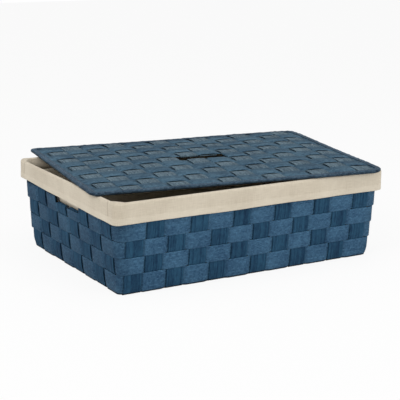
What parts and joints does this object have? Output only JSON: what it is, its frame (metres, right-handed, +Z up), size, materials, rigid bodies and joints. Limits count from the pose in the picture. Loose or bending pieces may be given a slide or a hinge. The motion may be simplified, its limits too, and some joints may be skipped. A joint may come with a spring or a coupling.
{
  "type": "underbed storage box",
  "caption": "Low tapered basket of flat woven straps on a wire frame, with a cream cloth liner folded over the rim, hand slots and a loose woven lid.",
  "frame": {"origin": "on the floor, under the middle of the plan outline with the lid as it lies", "axes": "+X along the length, to the right of someone in front; +Y to the back; +Z up"},
  "size_m": [0.7048, 0.5396, 0.2026],
  "materials": {
    "band_strap": "twisted paper cord in flat blue straps, matt with a slight sheen",
    "upright_strap": "twisted paper cord in flat blue straps, matt",
    "lid_long_strap": "twisted paper cord in flat blue straps, matt with a slight sheen",
    "lid_cross_strap": "twisted paper cord in flat blue straps, matt",
    "binding_strap": "dark blue strap folded round the lid's edge and stitched",
    "liner_cloth": "cream linen-look plain weave, matt",
    "frame_wire": "dark coated wire, hidden inside the weave"
  },
  "bodies": {
    "basket": {"wire_frame": "frame_wire", "band_1": "band_strap", "band_2": "band_strap", "band_3": "band_strap", "band_4": "band_strap", "band_5": "band_strap", "front_upright_1": "upright_strap", "front_upright_2": "upright_strap", "front_upright_3": "upright_strap", "front_upright_4": "upright_strap", "front_upright_5": "upright_strap", "front_upright_6": "upright_strap", "front_upright_7": "upright_strap", "front_upright_8": "upright_strap", "front_upright_9": "upright_strap", "front_upright_10": "upright_strap", "front_upright_11": "upright_strap", "front_upright_12": "upright_strap", "end_upright_1": "upright_strap", "end_upright_2": "upright_strap", "end_upright_3": "upright_strap", "end_upright_4": "upright_strap", "end_upright_5": "upright_strap", "end_upright_6": "upright_strap", "end_upright_7": "upright_strap", "end_upright_8": "upright_strap"},
    "liner": {"liner_front": "liner_cloth", "liner_back": "liner_cloth", "liner_left": "liner_cloth", "liner_right": "liner_cloth", "liner_base": "liner_cloth", "liner_cuff": "liner_cloth"},
    "lid": {"lid_wire": "frame_wire", "lid_binding": "binding_strap", "lid_long_1": "lid_long_strap", "lid_long_2": "lid_long_strap", "lid_long_3": "lid_long_strap", "lid_long_4": "lid_long_strap", "lid_long_5": "lid_long_strap", "lid_long_6_left": "lid_long_strap", "lid_long_6_right": "lid_long_strap", "lid_long_7": "lid_long_strap", "lid_long_8": "lid_long_strap", "lid_long_9": "lid_long_strap", "lid_long_10": "lid_long_strap", "lid_long_11": "lid_long_strap", "lid_cross_1": "lid_cross_strap", "lid_cross_2": "lid_cross_strap", "lid_cross_3": "lid_cross_strap", "lid_cross_4": "lid_cross_strap", "lid_cross_5": "lid_cross_strap", "lid_cross_6_front": "lid_cross_strap", "lid_cross_6_back": "lid_cross_strap", "lid_cross_7_front": "lid_cross_strap", "lid_cross_7_back": "lid_cross_strap", "lid_cross_8": "lid_cross_strap", "lid_cross_9": "lid_cross_strap", "lid_cross_10": "lid_cross_strap", "lid_cross_11": "lid_cross_strap", "lid_cross_12": "lid_cross_strap"}
  },
  "joints": [
    {"name": "liner_lift", "type": "slide", "parent": "basket", "child": "liner", "axis": [0, 0, 1], "range_m": [0, 0.25]},
    {"name": "lid_lift", "type": "slide", "parent": "liner", "child": "lid", "axis": [0, 0, 1], "range_m": [0, 0.25]}
  ]
}
